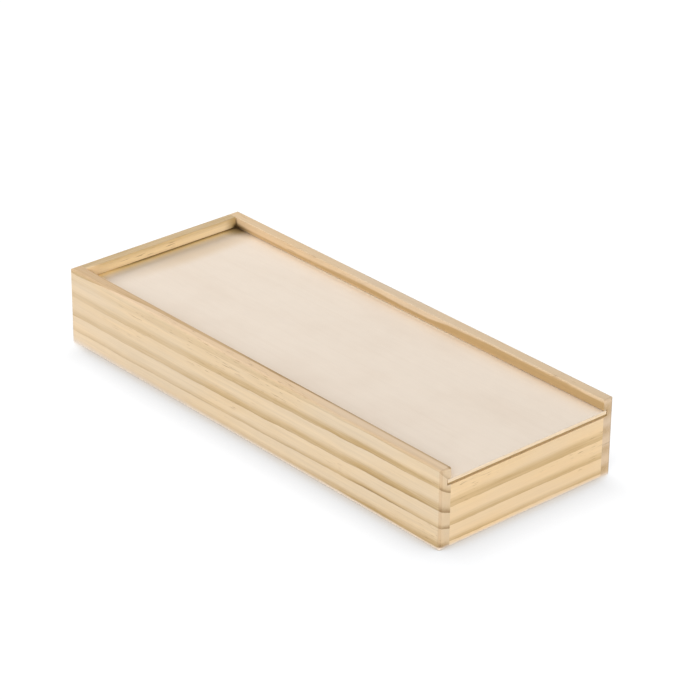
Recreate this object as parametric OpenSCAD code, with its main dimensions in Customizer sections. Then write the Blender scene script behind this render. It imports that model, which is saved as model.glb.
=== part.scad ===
// Storage box for dominoes: a long, low pine case with a plywood lid that slides out of one end.
// The two side walls run the whole length, and the end walls stand between them in glued butt joints.
// The lid runs in grooves under the rim and passes over the front wall, which is cut down to let it out.
// The base panel is held in a groove that goes round all four walls.
// Frame: the origin is under the middle of the box, on the surface that it stands on. +X points to the
// front, the way the lid slides out, +Y to the left side wall and +Z up. Sizes are in millimetres.

/* [Box] */
// Length over the ends of the side walls
box_l = 200; // [120:1:320]
// Width over the outer faces of the side walls
box_w = 80; // [50:1:140]
// Height of the side walls
box_h = 30; // [24:0.5:60]

/* [Walls] */
// Thickness of the side walls
side_t = 4.6; // [3.6:0.1:8]
// Thickness of the front and back walls
end_t = 4.2; // [3.6:0.1:8]

/* [Lid] */
// Thickness of the lid
lid_t = 2; // [1.5:0.1:4]
// Depth of the lid's upper face below the rim
lid_recess = 4.2; // [3:0.1:7]
// Depth of the lid groove in the side walls and the back wall
lid_groove_d = 1.6; // [1.2:0.1:2.8]
// Gap between the lid and the floor of its grooves
lid_gap_below = 0.1; // [0.05:0.05:0.4]
// Gap between the lid and the roof of its grooves
lid_gap_above = 0.2; // [0.1:0.05:1]
// Gap between the edges of the lid and the bottom of its grooves
lid_edge_gap = 0.4; // [0.1:0.05:0.8]
// Gap between the lid and the top of the front wall that it slides over
lid_front_gap = 0.5; // [0.1:0.05:1]

/* [Base] */
// Thickness of the base panel
base_t = 3; // [2:0.1:5]
// Height of the base panel's underside above the bottom of the walls
base_lift = 2.5; // [1.5:0.1:4]
// Depth of the base groove in all four walls
base_groove_d = 1.8; // [1:0.1:2.6]
// Gap between the edges of the base panel and the bottom of its groove
base_edge_gap = 0.3; // [0.1:0.05:0.6]

/* [Edges] */
// Radius of the four upright arrises of the glued-up case, sanded round
corner_arris = 1.3; // [0.2:0.1:1.6]
// Radius of the outer arrises round the top and the bottom of the case
case_arris = 0.9; // [0.2:0.1:1.6]
// Radius of the inner arrises of the rim and of the top of the front wall
rim_arris = 0.3; // [0.1:0.1:0.8]
// Radius of the front edges of the lid
lid_arris = 0.3; // [0.1:0.05:0.5]

/* [Hidden] */
inner_w = box_w - 2 * side_t;
inner_l = box_l - 2 * end_t;
// Faces of the inside, from the origin
inner_side_y = inner_w / 2;
inner_end_x = inner_l / 2;
// Levels of the lid and its grooves
lid_top_z = box_h - lid_recess;
lid_under_z = lid_top_z - lid_t;
lid_groove_z = lid_under_z - lid_gap_below;
lid_groove_h = lid_t + lid_gap_below + lid_gap_above;
front_top_z = lid_under_z - lid_front_gap;
// Reach of each panel past the inner faces, into the grooves that hold it
lid_reach = lid_groove_d - lid_edge_gap;
base_reach = base_groove_d - base_edge_gap;
// How far a cutting solid passes the face that it opens
over = 1;
// Sides of a full circle
$fn = 32;
pine = [0.91, 0.81, 0.66];
lid_veneer = [0.92, 0.87, 0.80];
base_veneer = [0.88, 0.78, 0.64];

// A block from its lowest and highest corners
module block(low, high) {
    translate(low) cube(high - low);
}

// A rectangle with round corners, centred on the first axis and standing on the other
module rounded_outline(w, h, r) {
    translate([-w / 2, 0]) {
        translate([r, 0]) square([w - 2 * r, h]);
        translate([0, r]) square([w, h - 2 * r]);
        for (x = [r, w - r], y = [r, h - r])
            translate([x, y]) circle(r);
    }
}

// The outside of the glued-up case, sanded at all its outer arrises
module sanded_case() {
    intersection() {
        rotate([90, 0, 90]) translate([0, 0, -box_l / 2])
            linear_extrude(box_l) rounded_outline(box_w, box_h, case_arris);
        rotate([90, 0, 0]) translate([0, 0, -box_w / 2])
            linear_extrude(box_w) rounded_outline(box_l, box_h, case_arris);
        linear_extrude(box_h) translate([0, -box_w / 2]) rounded_outline(box_l, box_w, corner_arris);
    }
}

// The room of the base groove: a flat slab with its edges at the bottom of the groove in each wall
module base_groove() {
    block(
        [-inner_end_x - base_groove_d, -inner_side_y - base_groove_d, base_lift],
        [inner_end_x + base_groove_d, inner_side_y + base_groove_d, base_lift + base_t]
    );
}

// The room of the lid: grooves in the back wall and right through the side walls, open at the front
module lid_groove() {
    block(
        [-inner_end_x - lid_groove_d, -inner_side_y, lid_groove_z],
        [box_l / 2 + over, inner_side_y, lid_groove_z + lid_groove_h]
    );
    for (side = [-1, 1])
        translate([0, side * inner_side_y, lid_groove_z + lid_groove_h / 2])
            cube([box_l + 2 * over, 2 * lid_groove_d, lid_groove_h], center = true);
}

// A cutter that rounds an arris along X, where a face turned to +Y meets a face turned to +Z
module arris_cutter(length, r) {
    difference() {
        block([-length / 2, -r, -r], [length / 2, over, over]);
        translate([0, -r, -r]) rotate([0, 90, 0]) cylinder(h = length + over, r = r, center = true);
    }
}

// A side wall as it stands on the side of -Y, grooved on its inner face
module side_wall() {
    rim_l = inner_end_x + box_l / 2 + over;
    difference() {
        intersection() {
            sanded_case();
            block([-box_l, -box_w, -over], [box_l, -inner_side_y, box_h + over]);
        }
        lid_groove();
        base_groove();
        translate([rim_l / 2 - inner_end_x, -inner_side_y, box_h]) arris_cutter(rim_l, rim_arris);
    }
}

module right_side_wall() {
    color(pine) side_wall();
}

module left_side_wall() {
    color(pine) mirror([0, 1, 0]) side_wall();
}

module back_wall() {
    color(pine) difference() {
        intersection() {
            sanded_case();
            block([-box_l, -inner_side_y, -over], [-inner_end_x, inner_side_y, box_h + over]);
        }
        lid_groove();
        base_groove();
        translate([-inner_end_x, 0, box_h]) rotate(-90) arris_cutter(box_w, rim_arris);
    }
}

module front_wall() {
    color(pine) difference() {
        intersection() {
            sanded_case();
            block([inner_end_x, -inner_side_y, -over], [box_l, inner_side_y, front_top_z]);
        }
        base_groove();
        translate([inner_end_x, 0, front_top_z]) rotate(90) arris_cutter(box_w, rim_arris);
        translate([box_l / 2, 0, front_top_z]) rotate(-90) arris_cutter(box_w, rim_arris);
    }
}

module base_panel() {
    color(base_veneer) block(
        [-inner_end_x - base_reach, -inner_side_y - base_reach, base_lift],
        [inner_end_x + base_reach, inner_side_y + base_reach, base_lift + base_t]
    );
}

// The lid: its back edge lies in the back wall, and its front edge is flush with the front of the case
module sliding_lid() {
    color(lid_veneer) difference() {
        block(
            [-inner_end_x - lid_reach, -inner_side_y - lid_reach, lid_under_z],
            [box_l / 2, inner_side_y + lid_reach, lid_top_z]
        );
        translate([box_l / 2, 0, lid_top_z]) rotate(-90) arris_cutter(box_w, lid_arris);
        translate([box_l / 2, 0, lid_under_z]) mirror([0, 0, 1]) rotate(-90) arris_cutter(box_w, lid_arris);
    }
}

right_side_wall();
left_side_wall();
back_wall();
front_wall();
base_panel();
sliding_lid();
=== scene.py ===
import math

import bpy
from mathutils import Matrix, Vector


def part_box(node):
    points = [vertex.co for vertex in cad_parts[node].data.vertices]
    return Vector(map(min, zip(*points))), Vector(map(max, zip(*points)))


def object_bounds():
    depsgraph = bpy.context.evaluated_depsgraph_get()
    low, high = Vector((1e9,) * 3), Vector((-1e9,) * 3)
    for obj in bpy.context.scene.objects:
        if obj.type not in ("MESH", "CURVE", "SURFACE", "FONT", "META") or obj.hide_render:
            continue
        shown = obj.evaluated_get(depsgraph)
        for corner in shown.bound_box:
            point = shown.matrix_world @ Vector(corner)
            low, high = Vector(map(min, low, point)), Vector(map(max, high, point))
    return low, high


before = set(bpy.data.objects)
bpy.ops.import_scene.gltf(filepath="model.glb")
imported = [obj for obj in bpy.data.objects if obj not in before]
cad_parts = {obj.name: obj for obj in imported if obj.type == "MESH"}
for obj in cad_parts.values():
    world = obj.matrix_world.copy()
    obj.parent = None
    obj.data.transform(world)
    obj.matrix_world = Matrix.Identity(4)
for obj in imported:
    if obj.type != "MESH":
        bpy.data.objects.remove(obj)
cad_low, cad_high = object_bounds()

MM = 0.001
case_l, case_w, _ = cad_high - cad_low
lid_low, lid_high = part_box("sliding_lid")
base_low, base_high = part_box("base_panel")

# In mm from the origin: the inner faces of the end walls and of the side walls, and the lid's upper face
INNER_END = 95.8
INNER_SIDE = 35.4
LID_TOP = 25.8


# ---------------------------------------------------------------------------------------------------------
# Camera: the photograph's place, worked out from the corners of the case, in lengths of the case
# ---------------------------------------------------------------------------------------------------------
CAMERA_AZIMUTH = 48.316
CAMERA_ELEVATION = 26.953
CAMERA_ROLL = 0.626
CAMERA_DISTANCE = 5.5
CAMERA_TARGET = (-0.1393, 0.1702)
SENSOR_W = 36
FOCAL_W = 4.244


def make_camera():
    azimuth, elevation = math.radians(CAMERA_AZIMUTH), math.radians(CAMERA_ELEVATION)
    back = Vector((
        math.sin(azimuth) * math.cos(elevation),
        -math.cos(azimuth) * math.cos(elevation),
        math.sin(elevation),
    ))
    right = Vector((math.cos(azimuth), math.sin(azimuth), 0))
    up = back.cross(right)
    roll = math.radians(CAMERA_ROLL)
    rolled_right = math.cos(roll) * right + math.sin(roll) * up
    rolled_up = back.cross(rolled_right)
    axes = Matrix((rolled_right, rolled_up, back)).transposed().to_4x4()
    target = Vector((CAMERA_TARGET[0], CAMERA_TARGET[1], 0)) * case_l

    data = bpy.data.cameras.new("camera")
    data.sensor_width = SENSOR_W
    data.lens = FOCAL_W * SENSOR_W
    data.clip_start = 0.05
    data.clip_end = 20
    camera = bpy.data.objects.new("camera", data)
    bpy.context.scene.collection.objects.link(camera)
    camera.matrix_world = Matrix.Translation(target + back * CAMERA_DISTANCE * case_l) @ axes
    bpy.context.scene.camera = camera


# ---------------------------------------------------------------------------------------------------------
# Node graphs
# ---------------------------------------------------------------------------------------------------------
def linear(red, green, blue):
    """A colour written as the eight-bit values that it shows on a screen."""
    def channel(value):
        value /= 255
        return value / 12.92 if value <= 0.04045 else ((value + 0.055) / 1.055) ** 2.4

    return (channel(red), channel(green), channel(blue), 1)


# Between which levels most of a noise lies, and how far the next seed's noise is moved, in units of noise
USUAL_NOISE = (0.3, 0.7)
SEED_SHIFT = (17.3, -9.1, 5.7)


class Graph:
    """Adds nodes to a material or to the world: a socket given as an input is linked, and anything else is
    set as a value."""

    def __init__(self, owner):
        owner.use_nodes = True
        self.owner = owner
        self.tree = owner.node_tree
        self.tree.nodes.clear()

    def add(self, kind, inputs=(), **settings):
        node = self.tree.nodes.new("ShaderNode" + kind)
        for key, value in settings.items():
            setattr(node, key, value)
        for key, value in dict(inputs).items():
            self.put(node.inputs[key], value)
        return node

    def put(self, socket, value):
        if isinstance(value, bpy.types.NodeSocket):
            self.tree.links.new(value, socket)
        else:
            socket.default_value = value

    def math(self, operation, *values):
        return self.add("Math", enumerate(values), operation=operation).outputs[0]

    def chain(self, operation, values):
        result, *others = values
        for other in others:
            result = self.math(operation, result, other)
        return result

    def times(self, *values):
        return self.chain("MULTIPLY", values)

    def plus(self, *values):
        return self.chain("ADD", values)

    def minus(self, first, second):
        return self.math("SUBTRACT", first, second)

    def magnitude(self, value):
        return self.math("ABSOLUTE", value)

    def vector(self, operation, *values):
        return self.add("VectorMath", enumerate(values), operation=operation).outputs[0]

    def noise(self, place, detail=2, roughness=0.5, distortion=0):
        return self.add("TexNoise", {
            "Vector": place, "Scale": 1, "Detail": detail, "Roughness": roughness, "Distortion": distortion,
        }).outputs[0]

    def sway(self, noise, span):
        """A noise turned into a shift of up to half of `span` either way."""
        return self.times(self.minus(noise, 0.5), span)

    def spread(self, noise, to_low, to_high, smooth=True):
        """A noise's usual levels spread from `to_low` to `to_high`."""
        return self.steps(noise, *USUAL_NOISE, to_low, to_high, smooth)

    def steps(self, value, low, high, to_low=0, to_high=1, smooth=True):
        node = self.add("MapRange", {
            "Value": value, "From Min": low, "From Max": high, "To Min": to_low, "To Max": to_high,
        }, interpolation_type="SMOOTHSTEP" if smooth else "LINEAR")
        return node.outputs[0]

    def curve(self, value, stops, between="LINEAR"):
        """A value read from (place, level) stops."""
        node = self.add("ValToRGB", {"Fac": value})
        ramp = node.color_ramp
        ramp.interpolation = between
        while len(ramp.elements) < len(stops):
            ramp.elements.new(1)
        for element, (place, level) in zip(ramp.elements, stops):
            element.position = place
            element.color = (level, level, level, 1)
        return node.outputs["Color"]

    def mix(self, share, first, second, blend="MIX"):
        # The colours of a Mix node have places 6 and 7, after those for numbers and vectors
        node = self.add("Mix", {0: share, 6: first, 7: second}, data_type="RGBA", blend_type=blend,
                        clamp_factor=True)
        return node.outputs[2]

    def glaze(self, colour, coat, share=1):
        """A colour seen through a coat of another."""
        return self.mix(share, colour, coat, "MULTIPLY")

    def lighten(self, colour, value):
        return self.add("HueSaturation", {"Color": colour, "Value": value}).outputs[0]

    def finish(self, shader, kind="Material"):
        self.add("Output" + kind, {"Surface": shader})
        return self.owner


class Wood(Graph):
    """A wooden surface, worked out from places in mm, with its grain along X or Y."""

    def __init__(self, name, grain, seed):
        super().__init__(bpy.data.materials.new(name))
        self.grain = grain
        self.seed = seed
        source = self.add("TexCoord").outputs
        self.place = self.vector("MULTIPLY", source["Object"], (1 / MM, 1 / MM, 1 / MM))
        self.x, self.y, self.z = self.add("SeparateXYZ", {0: self.place}).outputs
        facing_x, facing_y, self.facing_up = self.add("SeparateXYZ", {0: source["Normal"]}).outputs
        if grain == "X":
            self.along, self.over = self.x, self.y
            self.facing_along, self.facing_over = facing_x, facing_y
        else:
            self.along, self.over = self.y, self.x
            self.facing_along, self.facing_over = facing_y, facing_x

    def drawn(self, along, cross, layer, grain=None, **look):
        """Noise drawn out along the grain: one unit is `along` mm with the grain and `cross` mm over it."""
        unit = {"X": (along, cross, cross), "Y": (cross, along, cross)}[grain or self.grain]
        shift = tuple((self.seed + layer) * axis for axis in SEED_SHIFT)
        return self.noise(self.vector("DIVIDE", self.vector("ADD", self.place, shift), unit), **look)

    def clouds(self, unit, **look):
        return self.noise(self.vector("DIVIDE", self.place, unit), **look)

    def open_air(self, distance, own_piece=False):
        """1 where nothing stands within `distance` mm, and less in corners and grooves."""
        return self.add("AmbientOcclusion", {"Distance": distance * MM}, samples=12,
                        only_local=own_piece).outputs["AO"]

    def blot(self, place, size, depth):
        """How much a soft ellipsoid covers: up to `depth` round its centre."""
        offset = self.vector("DIVIDE", self.vector("SUBTRACT", self.place, place), size)
        gone = self.add("VectorMath", {0: offset}, operation="LENGTH").outputs["Value"]
        return self.steps(gone, 1, 0.1, 0, depth)

    def surface(self, colour, relief, strength, height, roughness, gloss):
        bump = self.add("Bump", {"Strength": strength, "Distance": height * MM, "Height": relief})
        shader = self.add("BsdfPrincipled", {
            "Base Color": colour,
            "Roughness": roughness,
            "Specular IOR Level": gloss,
            "Normal": bump.outputs[0],
        })
        return self.finish(shader.outputs[0])


# ---------------------------------------------------------------------------------------------------------
# Pine
# ---------------------------------------------------------------------------------------------------------
PINE_EARLY = linear(231, 209, 178)
PINE_WARM = linear(238, 208, 164)
PINE_LATE = linear(197, 165, 115)
PINE_LINE = linear(140, 110, 68)
PINE_FLECK = linear(160, 128, 90)
# Painted shade in the grooves and on the arrises, and painted light on the lower arrises
GROOVE_SHADE = linear(112, 82, 40)
LOWER_ARRIS_LIGHT = linear(236, 223, 210)
UPRIGHT_ARRIS_SHADE = linear(230, 226, 223)
RIM_SHADE = linear(206, 194, 168)

# In mm: how far the painted shade of a groove reaches, from where to where the painted shade on the inner
# arris of a rim grows, and from where to where a side wall's rings turn into those of its outer face
GROOVE_REACH = 2.2
RIM_LINE_SPAN = (36.8, 35.8)
OUTSIDE_SPAN = (37, 39.5)

# The columns of a ring, and in shares of its width how long it takes to turn dark and how its line runs
RADIUS, DARKNESS, LINE, START = range(4)
SUMMER_RISE = 0.42
LINE_SHAPE = ((0, 0), (0.87, 0), (0.935, 0.5), (0.962, 1), (1, 0))

# How strongly the rings bend and ripple, in mm, and where a swirl sets in and how softly it ends
BEND = 1.2
RIPPLE = 0.6
SWIRL_SPAN = (0.25, 0.03)
SWIRL_EDGE = 1.5
EVEN = ((0, 1), (1, 1))


def board_stops(half, stops):
    """Stops along a board, from mm off its middle to shares of its length."""
    return [(0.5 + place / half / 2, level) for place, level in stops]


def count_years(wood, half, share, pith, rings, wander, reach, swirl):
    """The rings between a place and the pith, counted with fractions. Their distance from the pith is bent
    along the board and rippled finely."""
    bend = wood.drawn(60, 20, layer=0, detail=1)
    ripple = wood.drawn(6, 1.2, layer=1, detail=3, roughness=0.6)
    across = wood.minus(wood.over, pith[0])
    upright = wood.minus(wood.z, pith[1])
    distance = wood.math("SQRT", wood.plus(wood.math("POWER", across, 2), wood.math("POWER", upright, 2)))

    lowest = min(shift for _, shift in wander)
    span = max(shift for _, shift in wander) - lowest
    stops = [(place, (shift - lowest) / span) for place, shift in wander]
    swing = wood.curve(share, board_stops(half, stops), "EASE")
    swing = wood.plus(wood.times(swing, span), lowest)
    outermost = rings[-1][RADIUS]
    stops = [(radius / outermost, level) for radius, level in reach]
    take = wood.curve(wood.math("DIVIDE", distance, outermost), stops)
    push, pushed_to = swirl
    pushed = wood.times(wood.steps(share, *SWIRL_SPAN),
                        wood.steps(distance, pushed_to + SWIRL_EDGE, pushed_to))

    bent = wood.plus(distance, wood.times(swing, take))
    bent = wood.minus(bent, wood.times(pushed, push))
    bent = wood.plus(bent, wood.sway(bend, BEND), wood.sway(ripple, RIPPLE))
    return wood.plus(*(wood.steps(bent, inner[RADIUS], outer[RADIUS], smooth=False)
                       for inner, outer in zip(rings, rings[1:])))


def pine(name, grain, pith, rings, wander, reach=EVEN, bold=EVEN, warm=0.3, swirl=(0, 0),
         close=(0.955, 0.955), tint=((255, 255, 255), (255, 255, 255)), rim=(238, 235, 232), rim_line=(0, 0),
         ends=(246, 243, 241), end_rings=(0.55, 0.7), foot=(1.6, 1.6), veiled=1, groove=0.6, outside=1,
         seed=1, light_and_shade_spots=()):
    """Sanded pine sawn from a log. The pith runs along the grain at `pith`, in mm over the other two axes.
    `rings` are (radius in mm, darkness, line, start): each ring turns dark from `start`, a share of its
    width, and ends in a thin line that the pale wood of the next spring follows at once. `wander` bends them,
    as (place along the board, shift in mm), and `reach` says how much of that each radius takes. `bold` is
    their contrast along the board, and `swirl` pushes the innermost out near the lower end: (mm, radius). The
    dark part of a ring ends between `close`, a share of its width on the faces and on the ends, and 1. `warm`
    is the share of warm colour in the pale wood, and `veiled` how strong the fine fibres are. `tint` is for
    the lower and upper end of the board, `rim` and `ends` are for those faces, and `end_rings` are how much
    of the rings' darkness and lines the ends take. `rim_line` is how strong the painted shade on the inner
    arris of the rim is and `foot` how high the painted light on the lower arris reaches, in mm, at each end
    of the board. `groove` is how strong the painted shade inside the grooves is, and `outside` how much of
    the rings' darkness is left on the outer face of a side wall. `light_and_shade_spots` are ellipsoids of
    painted light and painted shade: (place, size, depth, colour)."""
    wood = Wood(name, grain, seed)
    half = (case_l if grain == "X" else case_w) / MM / 2
    share = wood.steps(wood.along, -half, half, smooth=False)
    year = count_years(wood, half, share, pith, rings, wander, reach, swirl)
    season = wood.math("FRACT", year)
    lengthwise = wood.magnitude(wood.facing_along)
    cut_across = wood.steps(lengthwise, 0.3, 0.75)

    def of_ring(column):
        stops = [(i / len(rings), ring[column] / 2) for i, ring in enumerate(rings[1:])]
        return wood.times(wood.curve(wood.math("DIVIDE", year, len(rings)), stops, "CONSTANT"), 2)

    # How dark each ring turns, how sharply it ends and when it starts, and how that varies along the board
    patch = wood.drawn(36, 5, layer=2, detail=3, roughness=0.6)
    brush = wood.drawn(22, 0.5, layer=7, detail=4, roughness=0.65)
    boldness = wood.curve(share, board_stops(half, [(place, level / 2) for place, level in bold]))
    contrast = wood.times(boldness, 2, wood.spread(patch, 0.85, 1.12))
    dark = wood.times(of_ring(DARKNESS), contrast,
                      wood.steps(wood.magnitude(wood.over), *OUTSIDE_SPAN, 1, outside))
    start = of_ring(START)
    fall = wood.steps(season, 1, wood.steps(cut_across, 0, 1, *close, smooth=False))
    rise = wood.steps(season, start, wood.plus(start, SUMMER_RISE))
    summer = wood.times(rise, fall, dark, wood.spread(brush, 0.6, 1.2, smooth=False),
                        wood.steps(cut_across, 0, 1, 1, end_rings[0], smooth=False))
    line = wood.times(wood.curve(season, LINE_SHAPE), of_ring(LINE), wood.times(contrast, contrast),
                      wood.steps(brush, 0.3, 0.6, 0.3, 1))

    # Fibres, drawn out along the grain, so that they are streaks on a face and dots on end grain
    fibre = wood.drawn(16, 0.3, layer=3, detail=3, roughness=0.6)
    streak = wood.drawn(48, 1.1, layer=4, detail=3, roughness=0.6)
    fleck = wood.drawn(5, 0.4, layer=5, detail=1)
    tone = wood.drawn(45, 12, layer=6)
    flecked = wood.times(wood.steps(fleck, 0.62, 0.76, 0, 0.6), wood.steps(tone, 0.5, 0.62))
    veil = wood.plus(wood.sway(fibre, 0.22 * veiled), wood.sway(streak, 0.22 * veiled))
    veil = wood.times(veil, wood.steps(cut_across, 0, 1, 1, 0.4))

    colour = wood.mix(wood.spread(tone, warm - 0.3, warm + 0.3), PINE_EARLY, PINE_WARM)
    colour = wood.mix(summer, colour, PINE_LATE)
    colour = wood.glaze(colour, wood.mix(wood.steps(share, 0, 0.4), linear(*tint[0]), linear(*tint[1])))
    colour = wood.mix(wood.times(line, 0.6), colour, PINE_LINE)
    colour = wood.mix(flecked, colour, PINE_FLECK)
    colour = wood.lighten(colour, wood.plus(veil, 1))

    # End grain, with a dark line where each ring closes
    late = wood.times(wood.steps(season, 0.7, 0.93), fall, dark)
    end = wood.mix(wood.times(late, end_rings[1]), colour, PINE_LINE)
    colour = wood.mix(cut_across, colour, wood.glaze(end, linear(*ends)))

    # Painted shade on the upright arrises, the `rim` tint on the faces that look up, painted shade on the
    # rim's inner arris, and painted light on the lower arrises
    turned = wood.times(lengthwise, wood.magnitude(wood.facing_over))
    colour = wood.glaze(colour, UPRIGHT_ARRIS_SHADE, wood.steps(turned, 0.05, 0.4))
    colour = wood.glaze(colour, linear(*rim), wood.steps(wood.facing_up, 0.15, 0.8))
    inner_arris = wood.times(wood.steps(wood.magnitude(wood.over), *RIM_LINE_SPAN),
                             wood.steps(wood.facing_up, 0.2, 0.6))
    inner_arris = wood.times(inner_arris, wood.steps(share, 0.35, 0.7, *rim_line))
    colour = wood.glaze(colour, RIM_SHADE, inner_arris)
    low = wood.steps(wood.z, wood.steps(share, 0, 1, *foot, smooth=False), 0.3)
    slanted = wood.times(wood.steps(wood.facing_up, 0.7, 0.3),
                         wood.steps(wood.facing_up, -0.95, -0.6, 0.3, 1))
    colour = wood.mix(wood.times(wood.times(low, slanted), 0.9), colour, LOWER_ARRIS_LIGHT)

    # Painted shade inside the grooves
    in_groove = wood.steps(wood.open_air(GROOVE_REACH, own_piece=True), 0.95, 0.35, 0, groove)
    colour = wood.mix(in_groove, colour, GROOVE_SHADE)
    # Painted light and painted shade, in soft ellipsoids
    for place, size, depth, shade in light_and_shade_spots:
        colour = wood.mix(wood.blot(place, size, depth), colour, linear(*shade))

    relief = wood.plus(wood.times(fibre, 0.6), wood.times(summer, 0.5))
    return wood.surface(colour, relief, strength=0.5, height=0.04,
                        roughness=wood.spread(fibre, 0.55, 0.7), gloss=0.3)


# ---------------------------------------------------------------------------------------------------------
# Plywood
# ---------------------------------------------------------------------------------------------------------
PLY_BLEND = 0.04
# Painted light in the lid's near corner and along the left wall, and warm painted shade near the walls
LID_CORNER_LIGHT = linear(262, 246, 234)
LID_STRIP_LIGHT = linear(252, 237, 212)
SIDE_WARM_SHADE = linear(246, 239, 228)
BACK_WARM_SHADE = linear(255, 236, 177)

# In mm: how far the warm painted shade and the dark painted shade of a wall reach, from where to where the
# back wall's warm painted shade grows, and over what part of its width the lid's painted light by the near
# wall and the painted shade of its slot grow
WARM_SHADE_REACH = 8
DARK_REACH = 2
REAR_SPAN = (-88, -92)
LID_CORNER_LIGHT_SPAN = (-18, -30)
SLOT_SPAN = (-34, -6)

# In mm, the painted light along the left wall: its middle, and from where to where it grows over its length
# and its width
STRIP_X = -15
STRIP_LONG_SPAN = (80, 25)
STRIP_WIDE_SPAN = (34, 35.2)


def plywood(name, low, high, face, face_vein, edge_plies, seed, contrast, light_and_shade_spots=()):
    """A panel with the grain of its faces along X. `edge_plies` are (height from the bottom as a share of the
    thickness, colour) of the plies that show on its edges, where those with their grain along X are plain.
    `light_and_shade_spots` are ellipsoids of painted shade: (place, size, depth, colour, whether only close
    to a wall)."""
    wood = Wood(name, "X", seed)
    wavy = wood.clouds((4, 4, 400))
    depth = wood.steps(wood.z, low / MM, high / MM, smooth=False)
    depth = wood.plus(depth, wood.sway(wavy, 0.06))

    vein = wood.drawn(42, 1.8, layer=0, detail=4, roughness=0.6, distortion=0.4)
    fibre = wood.drawn(7, 0.22, layer=1, detail=3, roughness=0.6)
    cloud = wood.clouds((34, 21, 30), detail=3, roughness=0.55)
    mottle = wood.clouds((7, 5, 5), detail=3, roughness=0.55)
    cross = wood.drawn(9, 0.4, layer=2, grain="Y", detail=3, roughness=0.6)

    surface = wood.mix(wood.steps(vein, 0.4, 0.8, 0, contrast * 0.6), face, face_vein)
    surface = wood.mix(wood.steps(cloud, 0.4, 0.75, 0, contrast), surface, face_vein)
    veil = wood.plus(wood.sway(fibre, 0.12 * contrast), wood.sway(mottle, 0.10 * contrast))
    surface = wood.lighten(surface, wood.plus(veil, 1))

    plies = edge_plies[0][1]
    for share, colour in edge_plies[1:]:
        plies = wood.mix(wood.steps(depth, share - PLY_BLEND, share + PLY_BLEND), plies, colour)
    plies = wood.lighten(plies, wood.steps(cross, 0.3, 0.75, 1.03, 0.86))
    shade = wood.mix(wood.steps(wood.magnitude(wood.facing_up), 0.9, 0.6), surface, plies)

    # Painted shade near the walls, warm as if lit by them, painted light in the corner by the near wall and
    # along the left wall, and painted shade in the slot and in soft ellipsoids
    near_wall = wood.open_air(WARM_SHADE_REACH)
    in_corner = wood.steps(wood.open_air(DARK_REACH), 1, 0.5)
    under_rim = wood.steps(near_wall, 1, 0.8)
    rear = wood.steps(wood.x, *REAR_SPAN)
    near_right = wood.times(rear, under_rim, wood.steps(wood.y, *LID_CORNER_LIGHT_SPAN))
    shade = wood.mix(near_right, shade, LID_CORNER_LIGHT)
    shade = wood.glaze(shade, wood.mix(rear, SIDE_WARM_SHADE, BACK_WARM_SHADE), wood.steps(near_wall, 1, 0.6))
    slot = wood.times(rear, wood.steps(wood.y, *SLOT_SPAN, 0.05, 0.7))
    shade = wood.mix(wood.times(in_corner, wood.steps(slot, 0, 1, 0.05, 1)), shade, GROOVE_SHADE)
    strip = wood.times(wood.steps(wood.y, *STRIP_WIDE_SPAN, 0, 0.75),
                       wood.steps(wood.magnitude(wood.minus(wood.x, STRIP_X)), *STRIP_LONG_SPAN))
    shade = wood.mix(strip, shade, LID_STRIP_LIGHT)
    for place, size, most, colour, by_wall in light_and_shade_spots:
        cover = wood.blot(place, size, most)
        if by_wall:
            cover = wood.times(cover, under_rim)
        shade = wood.mix(cover, shade, linear(*colour))

    relief = wood.plus(fibre, wood.times(vein, 0.5))
    return wood.surface(shade, relief, strength=0.35, height=0.03,
                        roughness=wood.spread(fibre, 0.75, 0.85), gloss=0.1)


# ---------------------------------------------------------------------------------------------------------
# The wooden pieces
# ---------------------------------------------------------------------------------------------------------
SOFT_ARRIS = 0.12 * MM
SHARP_FROM = math.radians(35)


def soften(piece):
    """Takes the last hardness off a piece's arrises, and shades its flat faces flat."""
    weld = piece.modifiers.new("weld", "WELD")
    weld.merge_threshold = 0.001 * MM
    bevel = piece.modifiers.new("arrises", "BEVEL")
    bevel.width = SOFT_ARRIS
    bevel.segments = 2
    bevel.limit_method = "ANGLE"
    bevel.angle_limit = SHARP_FROM
    bevel.use_clamp_overlap = True
    bevel.harden_normals = False
    flat = piece.modifiers.new("flat_faces", "WEIGHTED_NORMAL")
    flat.keep_sharp = False


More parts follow.
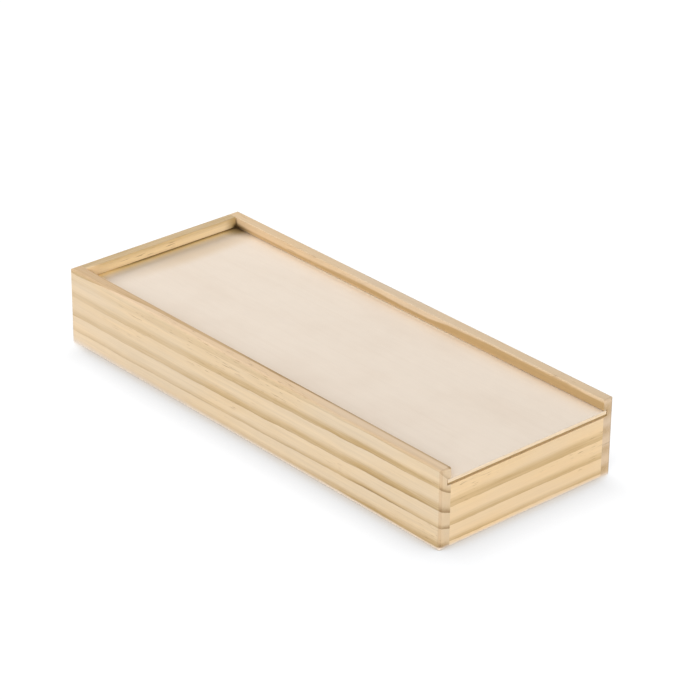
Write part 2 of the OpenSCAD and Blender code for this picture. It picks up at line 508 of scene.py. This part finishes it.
def make_finishes():
    """A material for each piece. The corner of the left wall and the back wall is darkened with painted
    shade.
    """
    return {
        "right_side_wall": pine(
            "pine_right", "X", pith=(-28.5, 37.4),
            rings=((6, 1, 1, 0.4), (11.9, 1.4, 0.7, 0), (16.4, 0.4, 0.1, 0.4), (21.8, 0.95, 0.5, 0.4),
                   (28.55, 1, 0.9, 0.45), (34.1, 0.8, 1, 0.55), (38.5, 0.9, 0.7, 0.5), (43, 1, 1, 0.5)),
            wander=((-98, 0), (-72, 0.15), (-42, 0.55), (-12, 0.85), (8, 1.15), (28, 1.7), (48, 2.2),
                    (68, 2.7), (98, 3.1)),
            reach=((0, 0.3), (12, 0.6), (19, 1.15), (26, 1), (33, 0.9), (38, 0.1), (43, 0.1)),
            bold=((-98, 0.5), (-55, 0.55), (-25, 0.62), (5, 0.75), (35, 0.78), (65, 1.15), (98, 0.9)),
            warm=0.3, swirl=(2.6, 15), tint=((254, 254, 254), (250, 251, 252)), rim=(248, 242, 239),
            rim_line=(0.15, 0.9), ends=(250, 246, 241), foot=(3, 1.6), seed=1),
        "left_side_wall": pine(
            "pine_left", "X", pith=(37, -60),
            rings=((58, 1, 1, 0.5), (65.3, 1.2, 0.1, 0.2), (72.4, 0.9, 0.6, 0.2), (79.9, 1.1, 0.1, 0.2),
                   (88.9, 1.3, 0, 0.02), (97, 0.3, 0.1, 0.5), (106, 1, 1, 0.5)),
            wander=((-98, 0.95), (-75, 0.95), (-52, 0.5), (-22, 0), (-5, 0.5), (12, 0.5), (25, -0.6),
                    (40, -0.9), (75, -1.25), (98, -0.7)),
            bold=((-98, 0.75), (-30, 0.95), (20, 1.1), (98, 1.05)), warm=0.4, close=(0.86, 0.68),
            tint=((247, 242, 235), (246, 246, 249)), rim=(245, 243, 241), ends=(249, 247, 248),
            end_rings=(0.65, 0), groove=0, outside=0.6, seed=2,
            # Painted light along the foot of the inner face above the lid, and painted shade in the corner by
            # the back wall
            light_and_shade_spots=(((-60, INNER_SIDE, 25.9), (220, 1, 1), 0.4, (242, 214, 180)),
                   ((-INNER_END, INNER_SIDE, LID_TOP), (12, 1.2, 3), 1, (56, 36, 8)),
                   ((-INNER_END, INNER_SIDE, 27.5), (1.6, 1.2, 3.5), 0.9, (80, 56, 16)))),
        "front_wall": pine(
            "pine_front", "Y", pith=(90, 45),
            rings=((12, 1, 1, 0.5), (19, 0.4, 0.1, 0.5), (25.2, 0.08, 0, 0.6), (31.55, 0.75, 0.12, 0.33),
                   (38.3, 0.75, 0.12, 0.5), (44.1, 0.8, 0.12, 0.55), (51, 1, 0.3, 0.5)),
            wander=((-40, -0.1), (-10, -0.2), (15, -0.1), (40, -0.2)), warm=0.85, rim=(255, 255, 255),
            veiled=0.55, seed=3),
        "back_wall": pine(
            "pine_back", "Y", pith=(-90, -40),
            rings=((43, 1, 1, 0.5), (50, 0.8, 0.5, 0.5), (56.5, 0.8, 0.5, 0.5), (63.5, 0.6, 0.5, 0.5),
                   (71.5, 1, 0.3, 0.5), (80, 0.4, 0.3, 0.5), (88, 1, 1, 0.5)),
            # The back wall's `tint` is painted light, a little above white
            wander=((-40, 0.1), (0, 0), (40, 0.2)), warm=0.9, tint=((258, 262, 262), (258, 262, 262)),
            rim=(244, 244, 252), groove=0.05, seed=4,
            # Painted shade along the slot above the lid, painted light at the near end, and painted shade in
            # the far corner
            light_and_shade_spots=(((-INNER_END, 0, 26), (1, 90, 0.7), 0.35, (222, 188, 136)),
                   ((-INNER_END, -INNER_SIDE, 28), (1.2, 9, 6), 0.7, (268, 236, 190)),
                   ((-INNER_END, INNER_SIDE, 27), (1.2, 6, 6), 0.85, (168, 136, 78)),
                   ((-INNER_END, INNER_SIDE, 26), (1.2, 2.4, 2.4), 1, (60, 40, 10)))),
        "base_panel": plywood(
            "ply_base", base_low.z, base_high.z, face=linear(226, 200, 166), face_vein=linear(198, 165, 124),
            edge_plies=((0, linear(226, 203, 170)), (0.33, linear(178, 142, 100)),
                        (0.67, linear(226, 203, 170))),
            seed=5, contrast=0.6),
        "sliding_lid": plywood(
            "ply_lid", lid_low.z, lid_high.z, face=linear(240, 226, 210), face_vein=linear(231, 214, 196),
            edge_plies=((0, linear(178, 148, 102)), (0.36, linear(246, 222, 189)),
                        (0.88, linear(238, 220, 196))),
            seed=6, contrast=0.4,
            # Painted shade: warm along the back of the lid, and dark in its far back corner only while the
            # lid is shut
            light_and_shade_spots=(((-87, 12, LID_TOP), (7, 48, 20), 0.55, (222, 196, 160), False),
                   ((-INNER_END, INNER_SIDE, LID_TOP), (14, 8.5, 20), 0.75, (50, 28, 8), True))),
    }


def dress():
    for name, finish in make_finishes().items():
        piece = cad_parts[name]
        piece.data.materials.clear()
        piece.data.materials.append(finish)
        for face in piece.data.polygons:
            face.use_smooth = True
        soften(piece)


# ---------------------------------------------------------------------------------------------------------
# Floor, backdrop and light
# ---------------------------------------------------------------------------------------------------------
FLOOR_R = 4
FLOOR_BOUNCE = (0.8, 0.8, 0.8, 1)
FLOOR_SHADE = (0.12, 0.12, 0.12, 1)
FLOOR_GLOW = (0.935, 0.94, 0.95, 1)
# Painted warm light from the wood, on the floor at the box's foot
FLOOR_WARM_BOUNCE = (0.94, 0.855, 0.76, 1)
WHITE = (1, 1, 1, 1)
WORLD_LEVEL = 0.33

# The painted shade round the foot of the box: how far it reaches, its level by how open a place is, and how
# much of it the two outer corners lose to painted light
CONTACT_R = 0.017
CONTACT_LEVELS = ((0, 0.55), (0.5, 0.635), (0.54, 0.68), (0.585, 0.752), (0.663, 0.823), (0.793, 0.894),
                  (1, 1))
FLOOR_CORNER_LIGHT = 0.7

# (name, the way to the lamp, distance, size, level)
LAMPS = (
    ("key", (-1.0, 0.1, 0.56), 2.2, 1.0, 0.79),
    ("fill", (0.8, -0.72, 0.4), 4, 3.2, 0.85),
    ("side", (-0.15, 1, 0), 4, 1.2, 0.3),
)


def shown(graph):
    """1 for the rays that the camera sees by, straight or in metal or glass."""
    path = graph.add("LightPath").outputs
    return graph.math("MAXIMUM", path["Is Camera Ray"],
                      graph.math("MAXIMUM", path["Is Glossy Ray"], path["Is Transmission Ray"]))


def make_floor():
    """A pale floor that runs out into white for the camera, and keeps a weak real shadow of the box with
    painted shade round its foot.
    """
    graph = Graph(bpy.data.materials.new("floor"))
    # Painted shade: the floor glows less where the box closes it in
    corner = graph.add("AmbientOcclusion", {"Distance": CONTACT_R}, samples=16).outputs["AO"]
    level = graph.curve(corner, CONTACT_LEVELS)
    # Painted light thins the painted shade at the two outer corners
    x, y, _ = graph.add("SeparateXYZ", {0: graph.add("TexCoord").outputs["Object"]}).outputs
    at_back = graph.times(graph.steps(x, -0.44 * case_l, -0.5 * case_l),
                          graph.steps(y, -0.38 * case_w, -0.48 * case_w))
    at_left = graph.times(graph.steps(y, 0.4 * case_w, 0.53 * case_w),
                          graph.steps(x, 0.46 * case_l, 0.5 * case_l))
    level = graph.mix(graph.times(graph.math("MAXIMUM", at_back, at_left), FLOOR_CORNER_LIGHT), level, WHITE)
    # Painted warm light from the wood, on the floor close to the box's foot
    tone = graph.mix(graph.steps(corner, 0.6, 0.5), FLOOR_GLOW, FLOOR_WARM_BOUNCE)

    matt = graph.add("BsdfDiffuse", {"Color": FLOOR_BOUNCE})
    shadow = graph.add("BsdfDiffuse", {"Color": FLOOR_SHADE})
    glow = graph.add("Emission", {"Color": tone, "Strength": level})
    both = graph.add("AddShader", {0: shadow.outputs[0], 1: glow.outputs[0]})
    mixed = graph.add("MixShader", {0: shown(graph), 1: matt.outputs[0], 2: both.outputs[0]})
    material = graph.finish(mixed.outputs[0])

    corners = [(-FLOOR_R, -FLOOR_R, 0), (FLOOR_R, -FLOOR_R, 0), (FLOOR_R, FLOOR_R, 0),
               (-FLOOR_R, FLOOR_R, 0)]
    mesh = bpy.data.meshes.new("floor")
    mesh.from_pydata(corners, [], [(0, 1, 2, 3)])
    mesh.materials.append(material)
    floor = bpy.data.objects.new("floor", mesh)
    bpy.context.scene.collection.objects.link(floor)


def make_world():
    """White to look at, and a soft even light on the object."""
    graph = Graph(bpy.data.worlds.new("studio"))
    level = graph.steps(shown(graph), 0, 1, WORLD_LEVEL, 1, smooth=False)
    background = graph.add("Background", {"Color": WHITE, "Strength": level})
    bpy.context.scene.world = graph.finish(background.outputs[0], "World")


def make_lamp(name, towards, distance, size, level):
    """A round soft box. It shows a white surface that faces it at `level`, where 1 is white."""
    data = bpy.data.lights.new(name, "AREA")
    data.shape = "DISK"
    data.size = size
    data.energy = level * (math.pi * distance) ** 2
    lamp = bpy.data.objects.new(name, data)
    way = Vector(towards).normalized()
    lamp.location = way * distance
    lamp.rotation_mode = "QUATERNION"
    lamp.rotation_quaternion = way.to_track_quat("Z", "Y")
    bpy.context.scene.collection.objects.link(lamp)


make_camera()
make_floor()
make_world()
for lamp in LAMPS:
    make_lamp(*lamp)
dress()

scene = bpy.context.scene
scene.view_settings.view_transform = "Standard"
